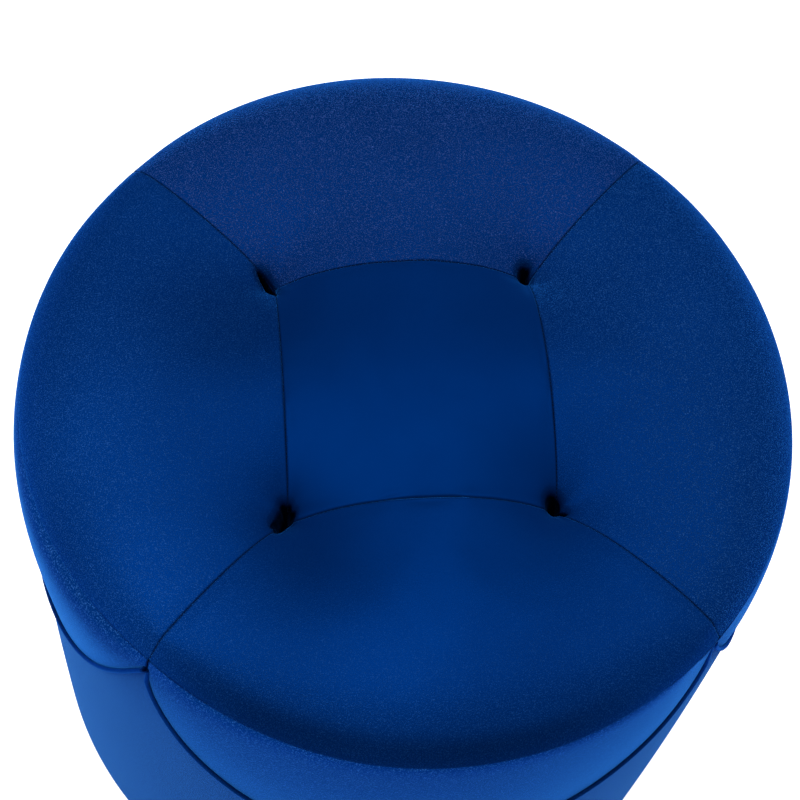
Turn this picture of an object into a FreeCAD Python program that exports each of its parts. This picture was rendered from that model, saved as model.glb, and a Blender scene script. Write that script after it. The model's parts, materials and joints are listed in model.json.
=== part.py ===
import FreeCAD, Part
import os
from math import cos, pi, radians, sin

from FreeCAD import Vector

# Round tufted ottoman: a drum of board and posts, foam round it and on it, and a sewn cover.
# Millimetres. The origin is on the floor under the drum's axis, +Z is up, -Y is the front.

# Outline of the finished cover
RIM_RADIUS = 255.0          # the seam ring round the top edge
RIM_HEIGHT = 408.0          # that seam above the floor
BELLY_RADIUS = 258.0        # the wall swells a little below the rim
BELLY_HEIGHT = 270.0
BASE_RADIUS = 253.0         # and draws in again at the foot
CROWN_RISE = 30.0           # middle of the seat above the rim seam
SHOULDER_RADIUS = 205.0     # where the flat of the crown turns down to the rim
SHOULDER_RISE = 25.0
CROWN_FLAT = 40.0           # radius of the level middle of the crown
CROWN_BEND = (125.0, 28.9)  # radius and rise halfway from there to the shoulder
SHOULDER_TURN = (232.5, 17.8)   # radius and rise halfway round that turn
FOOT_ROLL = 12.0            # rounding where the cover rolls under the base

# Sewing pattern of the cover
COVER = 1.5                 # velvet with its backing
SQUARE_HALF = 87.2          # half a side of the centre panel; a tuft is at each corner
SCALLOP_DEPTH = 161.0       # how far a side scallop hangs below the rim seam
WELT = 4.0                  # piping sewn along the lower edge of a scallop
WELT_PROUD = 2.0            # how far the piping stands out of the cover
HEM_INNER_RADIUS = 214.0    # the cover ends this far in under the base
SIDES = {"front": -90.0, "right": 0.0, "back": 90.0, "left": 180.0}

# Tufts, pulled down by twine to washers under the seat board
WELL_TOP_RADIUS = 15.0      # at WELL_TOP, just over the crown
WELL_TOP = 440.0
WELL_FOOT_RADIUS = 2.5
WELL_FOOT = 398.0
TWINE_RADIUS = 1.0
KNOT_RADIUS = 3.0
TWINE_HOLE_RADIUS = 3.0
WASHER_RADIUS = 11.0
WASHER = 2.0

# Padding
SIDE_FOAM = 12.0            # foam sheet glued round the drum
TOP_WADDING = 10.5          # fibre layer over the seat foam
FOAM_WELL_GROWTH = 7.0      # the foam's wells are this much wider than the cover's

# Drum
BOARD = 15.0                # plywood
WALL = 4.0                  # fibreboard bent round the two boards
BASE_UNDERSIDE = 10.0
SEAT_BOARD_TOP = 348.0
POST_SIDE = 32.0
POST_CHAMFER = 2.0
POST_CIRCLE = 190.0         # radius on which the posts stand
DUST_SHEET = 0.5
DUST_RADIUS = 234.0

# Fasteners and feet
GLIDE_RADIUS = 15.0
GLIDE_CIRCLE = 190.0
GLIDE_EDGE = 2.0
GLIDE_RECESS_RADIUS = 5.0
GLIDE_RECESS = 4.5
SCREW_RADIUS = 2.0
SCREW_HEAD_RADIUS = 4.2
SCREW_HEAD = 2.2
POST_SCREW_LENGTH = 45.0
POST_SCREW_SPREAD = 8.0     # two screws in each end of a post, this far off its centre
GLIDE_SCREW_TIP = 22.0      # height of the tip above the floor
STAPLE_WIRE = 0.7
STAPLE_CROWN = 10.0
STAPLE_LEG = 8.0
COVER_STAPLES = 40
DUST_STAPLES = 20
WALL_STAPLES = 12           # round each board

UP = Vector(0, 0, 1)
CENTRE = Vector(0, 0, 0)
OUTER = BASE_RADIUS * 1.3   # beyond every piece
MARGIN = 5.0                # how far a cutting block runs past what it cuts
DRUM_RADIUS = BASE_RADIUS - SIDE_FOAM
BOARD_RADIUS = DRUM_RADIUS - WALL
COVER_UNDERSIDE = BASE_UNDERSIDE - COVER
DIAGONALS = {"front_left": -135.0, "front_right": -45.0, "back_right": 45.0, "back_left": 135.0}


def drum(radius, low, high, x=0.0, y=0.0):
    """An upright cylinder between two heights."""
    return Part.makeCylinder(radius, high - low, Vector(x, y, low), UP)


def revolve(points):
    """A closed outline of (radius, height) points, turned about the drum's axis.

    A point given as a triple (radius, height, "arc") is passed through on the way to the next.
    """
    place = [Vector(p[0], 0, p[1]) for p in points] + [Vector(points[0][0], 0, points[0][1])]
    edges = []
    i = 0
    while i < len(points):
        if i + 1 < len(points) and len(points[i + 1]) == 3:
            edges.append(Part.Arc(place[i], place[i + 1], place[i + 2]).toShape())
            i += 2
        else:
            edges.append(Part.LineSegment(place[i], place[i + 1]).toShape())
            i += 1
    return Part.Face(Part.Wire(edges)).revolve(CENTRE, UP, 360)


def form(side, top):
    """The finished outline drawn in by side at the wall and foot, and by top at the crown."""
    low = COVER_UNDERSIDE + side
    roll = FOOT_ROLL - side
    foot = BASE_RADIUS - side
    bend = roll * (1 - cos(pi / 4))
    crown = RIM_HEIGHT + CROWN_RISE - top
    return revolve([
        (0, low),
        (foot - roll, low),
        (foot - bend, low + bend, "arc"),
        (foot, low + roll),
        (BELLY_RADIUS - side, BELLY_HEIGHT, "arc"),
        (RIM_RADIUS - side, RIM_HEIGHT),
        (SHOULDER_TURN[0] - side, RIM_HEIGHT + SHOULDER_TURN[1] - top, "arc"),
        (SHOULDER_RADIUS - side, RIM_HEIGHT + SHOULDER_RISE - top),
        (CROWN_BEND[0] - side, RIM_HEIGHT + CROWN_BEND[1] - top, "arc"),
        (CROWN_FLAT - side, crown),
        (0, crown),
    ])


def around(circle, angles):
    """Places on a circle about the drum's axis, by name."""
    return {name: (circle * cos(radians(a)), circle * sin(radians(a))) for name, a in angles.items()}


def tufts():
    """The corners of the centre panel, by name."""
    return around(SQUARE_HALF * 2 ** 0.5, DIAGONALS)


def wells(growth):
    """Four cones that dip from the crown to the tufts, each wider and deeper by growth."""
    low = WELL_FOOT - growth
    depth = WELL_TOP - low
    cones = []
    for x, y in tufts().values():
        foot, mouth = WELL_FOOT_RADIUS + growth, WELL_TOP_RADIUS + growth
        cones.append(Part.makeCone(foot, mouth, depth, Vector(x, y, low), UP))
    return Part.makeCompound(cones)


def quadrant(angle):
    """A wedge a quarter of a turn wide, about the given direction."""
    low, high = COVER_UNDERSIDE - MARGIN, RIM_HEIGHT + CROWN_RISE + MARGIN
    ends = [OUTER * 1.5 * Vector(cos(radians(angle + a)), sin(radians(angle + a)), 0) for a in (-45, 45)]
    outline = Part.makePolygon([CENTRE, ends[0], ends[1], CENTRE])
    wedge = Part.Face(outline).extrude(Vector(0, 0, high - low))
    wedge.translate(Vector(0, 0, low))
    return wedge


def scallop(angle, growth):
    """A half-ellipse that hangs from the rim seam, run through the wall on one side."""
    across = RIM_RADIUS * sin(pi / 4) + growth
    deep = SCALLOP_DEPTH + growth
    curve = Part.ArcOfEllipse(Part.Ellipse(CENTRE, across, deep), pi, 2 * pi).toShape()
    above = MARGIN * 4
    ends = [Vector(x, y, 0) for x, y in ((across, 0), (across, above), (-across, above), (-across, 0))]
    sides = [Part.makeLine(a, b) for a, b in zip(ends, ends[1:])]
    face = Part.Face(Part.Wire(Part.sortEdges([curve] + sides)[0]))
    block = face.extrude(Vector(0, 0, OUTER))
    block.rotate(CENTRE, Vector(1, 0, 0), 90)
    block.rotate(CENTRE, UP, angle + 90)
    block.translate(Vector(0, 0, RIM_HEIGHT))
    return block


def cover_pieces():
    """The sewn cover: centre panel, four petals, four scallops, the body and its piping."""
    skin = form(0, 0).cut(wells(0)).cut(form(COVER, COVER).cut(wells(COVER)))
    well_low = WELL_FOOT - MARGIN
    inner_top = drum(SHOULDER_RADIUS, well_low, WELL_TOP)
    above_rim = drum(OUTER, RIM_HEIGHT, WELL_TOP)
    top_zone = inner_top.fuse(above_rim)
    top = skin.common(top_zone)
    wall = skin.cut(top_zone).cut(drum(HEM_INNER_RADIUS, 0, BASE_UNDERSIDE + BOARD))
    welt_skin = form(-WELT_PROUD, 0).cut(form(COVER, 0))
    below_rim = drum(OUTER, COVER_UNDERSIDE, RIM_HEIGHT)

    half = SQUARE_HALF
    square = Part.makeBox(2 * half, 2 * half, WELL_TOP - well_low, Vector(-half, -half, well_low))
    threads = Part.makeCompound([drum(TWINE_RADIUS, well_low, WELL_FOOT, x, y)
                                 for x, y in tufts().values()])
    pieces = {"centre_panel": top.common(square).cut(threads)}
    body = wall
    for side, angle in SIDES.items():
        wedge = quadrant(angle)
        inside = scallop(angle, -WELT / 2)
        outside = scallop(angle, WELT / 2)
        pieces["petal_" + side] = top.common(wedge).cut(square).cut(threads)
        pieces["scallop_" + side] = wall.common(wedge).common(inside)
        band = outside.common(wedge).cut(inside)
        pieces["welt_" + side] = welt_skin.common(band).common(below_rim)
        body = body.cut(outside.common(wedge))
    pieces["body_cover"] = body
    return pieces


def padding():
    """Seat foam on the board, fibre over it, and the foam sheet round the drum."""
    lining = form(COVER, COVER).cut(wells(COVER))
    wrap_top = RIM_HEIGHT - SIDE_FOAM
    foam_form = form(SIDE_FOAM - COVER, COVER + TOP_WADDING)
    block = foam_form.common(drum(DRUM_RADIUS, SEAT_BOARD_TOP, WELL_TOP)).cut(wells(FOAM_WELL_GROWTH))
    fibre = lining.common(drum(OUTER, wrap_top, WELL_TOP)).cut(block)
    fibre = fibre.cut(drum(DRUM_RADIUS - 2, SEAT_BOARD_TOP, wrap_top + 0.01))
    wrap = lining.common(drum(OUTER, COVER_UNDERSIDE, wrap_top)).cut(drum(DRUM_RADIUS, 0, WELL_TOP))
    threads = Part.makeCompound([drum(TWINE_RADIUS, SEAT_BOARD_TOP, WELL_FOOT, x, y)
                                 for x, y in tufts().values()])
    return {"seat_foam": block.cut(threads), "seat_wadding": fibre.cut(threads), "side_foam": wrap}


def twine_pieces():
    """One length of twine at each tuft, knotted in the well and under its washer."""
    pieces = {}
    washer_top = SEAT_BOARD_TOP - BOARD
    low_knot = washer_top - WASHER - KNOT_RADIUS * 0.8
    for name, (x, y) in tufts().items():
        thread = drum(TWINE_RADIUS, low_knot, WELL_FOOT + KNOT_RADIUS, x, y)
        for height in (low_knot, WELL_FOOT + KNOT_RADIUS):
            thread = thread.fuse(Part.makeSphere(KNOT_RADIUS, Vector(x, y, height)))
        washer = drum(WASHER_RADIUS, washer_top - WASHER, washer_top, x, y)
        pieces["twine_" + name] = thread
        pieces["twine_washer_" + name] = washer.cut(thread)
    return pieces


def screw(x, y, head, tip):
    """A countersunk screw along Z, from the outside of its head to its point."""
    way = 1 if tip > head else -1
    axis = Vector(0, 0, way)
    cone = Part.makeCone(SCREW_HEAD_RADIUS, SCREW_RADIUS, SCREW_HEAD, Vector(x, y, head), axis)
    shank = Part.makeCylinder(SCREW_RADIUS, abs(tip - head) - SCREW_RADIUS, Vector(x, y, head), axis)
    point = Part.makeCone(SCREW_RADIUS, 0.3, SCREW_RADIUS, Vector(x, y, tip - way * SCREW_RADIUS), axis)
    return cone.fuse([shank, point]).removeSplitter()


def post_screws(head, tip):
    """Two screws into one end of each post, side by side along the drum's wall."""
    screws = []
    for x, y in around(POST_CIRCLE, DIAGONALS).values():
        for off in (-POST_SCREW_SPREAD, POST_SCREW_SPREAD):
            turn = off / POST_CIRCLE
            screws.append(screw(x - y * turn, y + x * turn, head, tip))
    return Part.makeCompound(screws)


def staple():
    """A staple with its crown along Y at the origin and its legs up along Z."""
    wire, crown = STAPLE_WIRE, STAPLE_CROWN
    bar = Part.makeBox(wire, crown, wire, Vector(-wire / 2, -crown / 2, 0))
    legs = [Part.makeBox(wire, wire, STAPLE_LEG, Vector(-wire / 2, y, 0))
            for y in (-crown / 2, crown / 2 - wire)]
    return bar.fuse(legs).removeSplitter()


def staple_ring(count, radius, height, inward=False):
    """Staples round the drum's axis, driven up, or inward through the wall."""
    ring = []
    for i in range(count):
        piece = staple()
        if inward:
            piece.rotate(CENTRE, Vector(0, 1, 0), -90)
        piece.translate(Vector(radius, 0, height))
        piece.rotate(CENTRE, UP, (i + 0.5) * 360.0 / count)
        ring.append(piece)
    return ring


def fasteners():
    """Screws and staples, each kind as one group of separate solids."""
    top_head, base_head = SEAT_BOARD_TOP, BASE_UNDERSIDE
    mid_base = BASE_UNDERSIDE + BOARD / 2
    mid_seat = SEAT_BOARD_TOP - BOARD / 2
    wall_rings = [s for z in (mid_base, mid_seat)
                  for s in staple_ring(WALL_STAPLES, DRUM_RADIUS - STAPLE_WIRE / 4, z, inward=True)]
    glide_screws = [screw(x, y, GLIDE_RECESS, GLIDE_SCREW_TIP)
                    for x, y in around(GLIDE_CIRCLE, SIDES).values()]
    cover_ring = staple_ring(COVER_STAPLES, HEM_INNER_RADIUS + 8, COVER_UNDERSIDE)
    dust_ring = staple_ring(DUST_STAPLES, DUST_RADIUS - 5, COVER_UNDERSIDE - DUST_SHEET - STAPLE_WIRE)
    return {
        "base_board_screws": post_screws(base_head, base_head + POST_SCREW_LENGTH),
        "seat_board_screws": post_screws(top_head, top_head - POST_SCREW_LENGTH),
        "glide_screws": Part.makeCompound(glide_screws),
        "wall_staples": Part.makeCompound(wall_rings),
        "cover_staples": Part.makeCompound(cover_ring),
        "dust_sheet_staples": Part.makeCompound(dust_ring),
    }


def frame_pieces():
    """Two boards held apart by four posts, and the fibreboard wall bent round them."""
    seat = drum(BOARD_RADIUS, SEAT_BOARD_TOP - BOARD, SEAT_BOARD_TOP)
    for x, y in tufts().values():
        seat = seat.cut(drum(TWINE_HOLE_RADIUS, SEAT_BOARD_TOP - BOARD, SEAT_BOARD_TOP, x, y))
    base = drum(BOARD_RADIUS, BASE_UNDERSIDE, BASE_UNDERSIDE + BOARD)
    wall = drum(DRUM_RADIUS, BASE_UNDERSIDE, SEAT_BOARD_TOP).cut(drum(BOARD_RADIUS, 0, WELL_TOP))
    pieces = {"seat_board": seat, "base_board": base, "drum_wall": wall}
    low, high = BASE_UNDERSIDE + BOARD, SEAT_BOARD_TOP - BOARD
    for name, (x, y) in around(POST_CIRCLE, DIAGONALS).items():
        corner = Vector(-POST_SIDE / 2, -POST_SIDE / 2, low)
        post = Part.makeBox(POST_SIDE, POST_SIDE, high - low, corner)
        upright = [e for e in post.Edges if abs(e.BoundBox.ZLength - (high - low)) < 0.1]
        post = post.makeChamfer(POST_CHAMFER, upright)
        post.rotate(CENTRE, UP, DIAGONALS[name])
        post.translate(Vector(x, y, 0))
        pieces["post_" + name] = post
    return pieces


def underside():
    """The dust sheet, which steps down over the cover's hem, and the four glides."""
    high, low = BASE_UNDERSIDE, COVER_UNDERSIDE
    step = HEM_INNER_RADIUS - 2
    sheet = revolve([
        (0, high - DUST_SHEET),
        (step - 5, high - DUST_SHEET),
        (step, low - DUST_SHEET),
        (DUST_RADIUS, low - DUST_SHEET),
        (DUST_RADIUS, low),
        (step, low),
        (step - 5, high),
        (0, high),
    ])
    pieces = {"dust_sheet": sheet}
    top = high - DUST_SHEET
    for name, (x, y) in around(GLIDE_CIRCLE, SIDES).items():
        glide = drum(GLIDE_RADIUS, 0, top, x, y)
        rims = [e for e in glide.Edges if e.BoundBox.ZLength < 0.01 and e.BoundBox.ZMin < 0.01]
        glide = glide.makeFillet(GLIDE_EDGE, rims)
        glide = glide.cut(drum(GLIDE_RECESS_RADIUS, 0, GLIDE_RECESS, x, y))
        pieces["glide_" + name] = glide
    return pieces


def build():
    """Every piece by name, with each board, post and cloth let in for what goes through it."""
    pieces = {}
    for group in (frame_pieces(), padding(), cover_pieces(), twine_pieces(), underside()):
        pieces.update(group)
    fixings = fasteners()
    through = {
        "base_board_screws": ["base_board"] + ["post_" + n for n in DIAGONALS],
        "seat_board_screws": ["seat_board"] + ["post_" + n for n in DIAGONALS],
        "glide_screws": ["base_board", "dust_sheet"] + ["glide_" + n for n in SIDES],
        "wall_staples": ["drum_wall", "base_board", "seat_board"],
        "cover_staples": ["body_cover", "base_board"],
        "dust_sheet_staples": ["dust_sheet", "body_cover", "base_board"],
    }
    for fixing, hosts in through.items():
        for host in hosts:
            pieces[host] = pieces[host].cut(fixings[fixing])
    pieces.update(fixings)
    return pieces


def main():
    os.makedirs("parts", exist_ok=True)
    for name, shape in build().items():
        solids = shape.Solids
        if not solids or not all(s.isValid() and s.isClosed() for s in solids):
            raise ValueError(name + " is not made of closed, valid solids")
        whole = solids[0] if len(solids) == 1 else Part.makeCompound(solids)
        whole.exportStep("parts/" + name + ".step")
        print("%-26s %3d solids %12.1f mm3" % (name, len(solids), whole.Volume))


main()
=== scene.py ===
import json
from math import cos, pi, radians, sin

import bmesh
import bpy
import numpy as np
from mathutils import Matrix, Vector
from mathutils.bvhtree import BVHTree

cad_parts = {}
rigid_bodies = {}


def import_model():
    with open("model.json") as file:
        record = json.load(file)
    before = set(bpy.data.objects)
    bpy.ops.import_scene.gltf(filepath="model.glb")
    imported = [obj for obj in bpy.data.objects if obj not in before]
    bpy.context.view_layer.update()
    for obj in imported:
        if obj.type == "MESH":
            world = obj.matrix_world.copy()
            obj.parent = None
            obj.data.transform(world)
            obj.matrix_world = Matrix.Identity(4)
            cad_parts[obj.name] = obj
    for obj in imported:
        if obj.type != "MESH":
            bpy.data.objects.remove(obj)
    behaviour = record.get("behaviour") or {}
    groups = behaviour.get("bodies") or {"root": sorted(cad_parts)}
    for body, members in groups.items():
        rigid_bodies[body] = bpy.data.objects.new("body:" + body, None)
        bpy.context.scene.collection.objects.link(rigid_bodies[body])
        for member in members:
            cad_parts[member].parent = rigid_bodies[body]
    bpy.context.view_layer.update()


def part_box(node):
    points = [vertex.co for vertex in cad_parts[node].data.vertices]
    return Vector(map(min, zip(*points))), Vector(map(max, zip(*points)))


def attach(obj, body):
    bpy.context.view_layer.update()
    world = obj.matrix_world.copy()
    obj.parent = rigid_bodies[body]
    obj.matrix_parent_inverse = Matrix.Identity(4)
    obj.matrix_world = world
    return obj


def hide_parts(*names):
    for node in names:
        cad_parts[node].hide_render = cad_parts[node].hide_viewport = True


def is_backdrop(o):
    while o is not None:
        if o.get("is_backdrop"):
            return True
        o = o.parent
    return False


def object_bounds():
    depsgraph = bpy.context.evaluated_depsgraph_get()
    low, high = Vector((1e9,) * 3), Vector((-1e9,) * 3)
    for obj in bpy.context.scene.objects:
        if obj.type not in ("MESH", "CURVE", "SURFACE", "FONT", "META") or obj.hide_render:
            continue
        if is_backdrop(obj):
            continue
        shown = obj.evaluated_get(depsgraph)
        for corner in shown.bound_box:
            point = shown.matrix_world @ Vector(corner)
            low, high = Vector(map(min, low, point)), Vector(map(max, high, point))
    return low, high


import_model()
scene = bpy.context.scene


# ---------------------------------------------------------------- camera, light and floor
# The ottoman is seen from well above and a little from its left, with the camera leaning over.
# A broad soft light over the back, one high at the front left, one at each side, and a pale floor below.

rim_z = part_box("scallop_front")[1].z        # height of the seam ring round the top edge
rim_r = -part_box("petal_front")[0].y         # radius of that ring

AZIMUTH, ELEVATION, ROLL = radians(-12.94), radians(62.04), radians(9.61)
DISTANCE = 5.35 * rim_r
ASIDE, ALONG = 0.035 * rim_r, 0.014 * rim_r  # how far the rim's centre is off the view's centre
LENS = 92.7

back = Vector((sin(AZIMUTH) * cos(ELEVATION), -cos(AZIMUTH) * cos(ELEVATION), sin(ELEVATION)))
level = Vector((cos(AZIMUTH), sin(AZIMUTH), 0))
upright = back.cross(level)
right = level * cos(ROLL) + upright * sin(ROLL)
top = upright * cos(ROLL) - level * sin(ROLL)
camera = bpy.data.objects.new("camera", bpy.data.cameras.new("camera"))
camera.data.lens = LENS
camera.matrix_world = Matrix((right, top, back)).transposed().to_4x4()
camera.location = Vector((0, 0, rim_z)) + back * DISTANCE - right * ASIDE - top * ALONG
scene.collection.objects.link(camera)
scene.camera = camera
scene.view_settings.view_transform = "Standard"

world = bpy.data.worlds.new("studio")
scene.world = world
world.use_nodes = True
world.node_tree.nodes["Background"].inputs["Color"].default_value = (1, 1, 1, 1)
world.node_tree.nodes["Background"].inputs["Strength"].default_value = 0.15


def soft_light(name, power, width, depth, place, target):
    """A soft box of this width and depth, in metres, that faces the target."""
    lamp = bpy.data.lights.new(name, "AREA")
    lamp.shape, lamp.energy, lamp.size, lamp.size_y = "RECTANGLE", power, width, depth
    obj = bpy.data.objects.new(name, lamp)
    obj.location = place
    obj.rotation_euler = (Vector(target) - Vector(place)).to_track_quat("-Z", "Y").to_euler()
    scene.collection.objects.link(obj)


soft_light("overhead", 54, 3.2, 1.5, (-0.1, 0.22, 2.4), (0, 0, rim_z))
soft_light("left_front", 6, 1.0, 0.8, (-0.9, -0.8, 2.1), (0, 0, rim_z))
soft_light("left_side", 8, 1.0, 1.6, (-1.9, -0.1, 1.4), (0, 0, rim_z))
soft_light("right_side", 8, 1.0, 1.6, (1.9, -0.1, 1.4), (0, 0, rim_z))


def plain_material(name, colour, roughness=0.6, **constants):
    """A Principled material with its constants set, and its nodes to build on."""
    material = bpy.data.materials.new(name)
    material.use_nodes = True
    shader = material.node_tree.nodes["Principled BSDF"]
    shader.inputs["Base Color"].default_value = (*colour, 1)
    shader.inputs["Roughness"].default_value = roughness
    for key, value in constants.items():
        shader.inputs[key.replace("_", " ")].default_value = value
    return material, material.node_tree, shader


def add_object(name, mesh):
    """A new object at the origin for this mesh."""
    obj = bpy.data.objects.new(name, mesh)
    scene.collection.objects.link(obj)
    return obj


def mesh_object(name, points, faces, *materials, edges=()):
    """A smooth-shaded mesh object at the origin, its points in metres in the row's frame."""
    mesh = bpy.data.meshes.new(name)
    mesh.from_pydata([tuple(float(c) for c in p) for p in points], list(edges), faces)
    mesh.polygons.foreach_set("use_smooth", [True] * len(mesh.polygons))
    for material in materials:
        mesh.materials.append(material)
    return add_object(name, mesh)


FLOOR_HALF = 15.0
floor_corners = [(x * FLOOR_HALF, y * FLOOR_HALF, 0) for x, y in ((-1, -1), (1, -1), (1, 1), (-1, 1))]
paper = plain_material("white_paper", (0.92, 0.92, 0.92), 0.9, Specular_IOR_Level=0.0,
                       Emission_Color=(1, 1, 1, 1), Emission_Strength=0.80)[0]
floor = mesh_object("floor", floor_corners, [(0, 1, 2, 3)], paper)
floor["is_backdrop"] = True


# ---------------------------------------------------------------- velvet
# Royal blue polyester velvet on a knitted back. The short pile is dark seen end on and pale
# seen from the side, its tips catch the light as fine specks that are painted into its colour
# as sheen, and strokes leave it uneven.


def node(tree, kind, place, *ordered, **named):
    """A node whose inputs, in order or by name, take a value or a wire; small letters are settings."""
    made = tree.nodes.new(kind)
    made.location = place
    for key in [key for key in named if key[0].islower()]:
        setattr(made, key, named.pop(key))
    for key, value in [*enumerate(ordered), *named.items()]:
        socket = made.inputs[key.replace("_", " ") if isinstance(key, str) else key]
        if isinstance(value, bpy.types.NodeSocket):
            tree.links.new(value, socket)
        else:
            socket.default_value = value
    return made


def mix(tree, place, factor, first, second):
    """A colour that goes from the first, a shade or a wire, to the second as factor grows."""
    first, second = (c if isinstance(c, bpy.types.NodeSocket) else (*c, 1) for c in (first, second))
    made = node(tree, "ShaderNodeMix", place, data_type="RGBA", Factor=factor, A=first, B=second)
    return made.outputs["Result"]


def over(tree, place, value):
    """One over this value: the scale of a pattern from its size."""
    return node(tree, "ShaderNodeMath", place, 1, value, operation="DIVIDE").outputs[0]


def surface(tree, shader, colour, height, strength, depth):
    """Wires a colour into a material, if there is one, and a relief this deep."""
    relief = node(tree, "ShaderNodeBump", (-250, -200), Strength=strength, Distance=depth, Height=height)
    tree.links.new(relief.outputs["Normal"], shader.inputs["Normal"])
    if colour is not None:
        tree.links.new(colour, shader.inputs["Base Color"])


def shader_group(name, inputs, *outputs):
    """An empty shader group with named number inputs and outputs."""
    group = bpy.data.node_groups.new(name, "ShaderNodeTree")
    for key, value in inputs.items():
        group.interface.new_socket(key, in_out="INPUT", socket_type="NodeSocketFloat").default_value = value
    for key in outputs:
        group.interface.new_socket(key, in_out="OUTPUT", socket_type="NodeSocketFloat")
    return group, group.nodes.new("NodeGroupInput").outputs, group.nodes.new("NodeGroupOutput").inputs


FEWEST_SPECKS_AHEAD = 0.30                         # the painted sheen specks are fewest round a point this share of a radius forward
FEWEST_SPECKS_WITHIN, ALL_SPECKS_BEYOND = 0.22, 0.88    # from there, in radii: fewest painted sheen specks within, all of them beyond
FEWEST_SPECKS_SHARE = 0.10                          # share of the painted sheen specks left where they are fewest
TIP_STARTS, TIP_FULL = 0.50, 0.74           # a lump of the fine noise reads as a tip between these


def pile_group():
    """Light specks of painted sheen, fewest round the middle of the seat, strokes in the nap, and a height
    for bumps.
    """
    group, given, out = shader_group("pile", {"Tip size": 0.0008, "Stroke size": 0.09, "Tip share": 0.5},
                                     "Tips", "Strokes", "Height")
    place = node(group, "ShaderNodeTexCoord", (-1100, 0)).outputs["Object"]
    tips = node(group, "ShaderNodeTexNoise", (-700, 200), Vector=place, Detail=1.0, Roughness=0.6,
                Scale=over(group, (-900, 200), given["Tip size"]))
    sharp = node(group, "ShaderNodeMapRange", (-500, 200), Value=tips.outputs["Fac"],
                 From_Min=TIP_STARTS, From_Max=TIP_FULL)
    seat = node(group, "ShaderNodeVectorMath", (-900, 450), place, (1 / rim_r, 1 / rim_r, 0),
                (0, FEWEST_SPECKS_AHEAD, 0), operation="MULTIPLY_ADD")
    away = node(group, "ShaderNodeVectorMath", (-800, 450), seat.outputs["Vector"], operation="LENGTH")
    slope = node(group, "ShaderNodeMapRange", (-700, 450), interpolation_type="SMOOTHSTEP",
                 Value=away.outputs["Value"], From_Min=FEWEST_SPECKS_WITHIN, From_Max=ALL_SPECKS_BEYOND,
                 To_Min=FEWEST_SPECKS_SHARE)
    speck_mask = node(group, "ShaderNodeMath", (-300, 300), sharp.outputs["Result"], slope.outputs["Result"],
                 operation="MULTIPLY").outputs[0]
    share = node(group, "ShaderNodeMath", (-100, 300), speck_mask, given["Tip share"], operation="MULTIPLY")
    strokes = node(group, "ShaderNodeTexNoise", (-700, -200), Vector=place, Detail=3.0, Roughness=0.55,
                   Distortion=0.6, Scale=over(group, (-900, -200), given["Stroke size"]))
    group.links.new(share.outputs[0], out["Tips"])
    group.links.new(strokes.outputs["Fac"], out["Strokes"])
    group.links.new(speck_mask, out["Height"])
    return group


pile = pile_group()
VELVET_DEEP = (0.0, 0.0150, 0.095)
VELVET_LIT = (0.0, 0.0215, 0.130)
# Painted sheen: the colours of the light specks on the pile's tips.
VELVET_SHEEN_SPECK = (0.030, 0.130, 0.42)
VELVET_BACK_SHEEN_SPECK = (0.070, 0.130, 0.42)      # painted sheen: the back petal's specks are a little more violet
# Painted shade: the near black that pits, seams and corners are darkened towards.
VELVET_PAINTED_SHADE = (0.0, 0.0004, 0.0030)
VELVET_SHEEN = (0.02, 0.26, 1.0)
VELVET_GLOSS = (0.0, 0.17, 1.0)


def velvet_material(name, depth=1.0, tip_share=0.36, bump=0.5, tip_size=0.0008, tip=VELVET_SHEEN_SPECK,
                    sheen=0.85, sheen_tint=VELVET_SHEEN):
    """The velvet; depth dims or lifts its colour, painted shade or light on a darker or lighter copy of it.
    """
    material, tree, shader = plain_material(
        name, VELVET_DEEP, 0.46, Metallic=0.30, Specular_IOR_Level=0.0, Specular_Tint=(*VELVET_GLOSS, 1),
        Sheen_Weight=sheen, Sheen_Roughness=0.32, Sheen_Tint=(*sheen_tint, 1))
    pile_and_sheen = node(tree, "ShaderNodeGroup", (-700, 0), node_tree=pile, Tip_share=tip_share,
                Tip_size=tip_size).outputs
    deep, lit = ([c * depth for c in shade] for shade in (VELVET_DEEP, VELVET_LIT))
    tips = mix(tree, (-250, 100), pile_and_sheen["Tips"], mix(tree, (-450, 100), pile_and_sheen["Strokes"], deep, lit), tip)
    # Painted light and shade: a point layer scales the colour up or down, standing in for how the light
    # falls on each part.
    painted_shading = node(tree, "ShaderNodeAttribute", (-700, 300), attribute_name="painted_shading")
    lift = node(tree, "ShaderNodeMath", (-500, 300), painted_shading.outputs["Fac"], 1.0, operation="ADD")
    with_painted_shading = node(tree, "ShaderNodeVectorMath", (-300, 300), tips, operation="SCALE", Scale=lift.outputs[0])
    # Painted shade: a second point layer darkens the colour towards near black in pits, seams and corners.
    pressed = node(tree, "ShaderNodeAttribute", (-400, 400), attribute_name="pressed")
    colour = mix(tree, (-100, 300), pressed.outputs["Fac"], with_painted_shading.outputs["Vector"], VELVET_PAINTED_SHADE)
    surface(tree, shader, colour, pile_and_sheen["Height"], bump, 0.0006)
    return material


# Painted sheen: each panel has its own share of light specks, most on the back and right petals, with bumps
# to match.
PANEL_SHEEN_SPECKS = {"centre_panel": 0.04, "petal_front": 0.24, "petal_right": 0.42, "petal_back": 0.44,
              "petal_left": 0.28}
panel_velvets = {name: velvet_material("velvet_" + name, tip_share=share, bump=1.4 * share,
                                       tip=VELVET_BACK_SHEEN_SPECK if name == "petal_back" else VELVET_SHEEN_SPECK)
                 for name, share in PANEL_SHEEN_SPECKS.items()}
# Two shaded copies of the velvet, darker and with less sheen, for faces in painted shade.
velvet_brushed = velvet_material("velvet_brushed", depth=0.85, tip_share=0.2, sheen=0.42)
velvet_pressed = velvet_material("velvet_pressed", depth=0.7, tip_share=0.1, sheen=0.06)


# ---------------------------------------------------------------- the seat's cover
# Five velvet panels: a square between the tufts and four petals from its sides to the rim.
# They are sewn edge to edge, pulled over the foam and drawn down hard at the four tufts.

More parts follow.
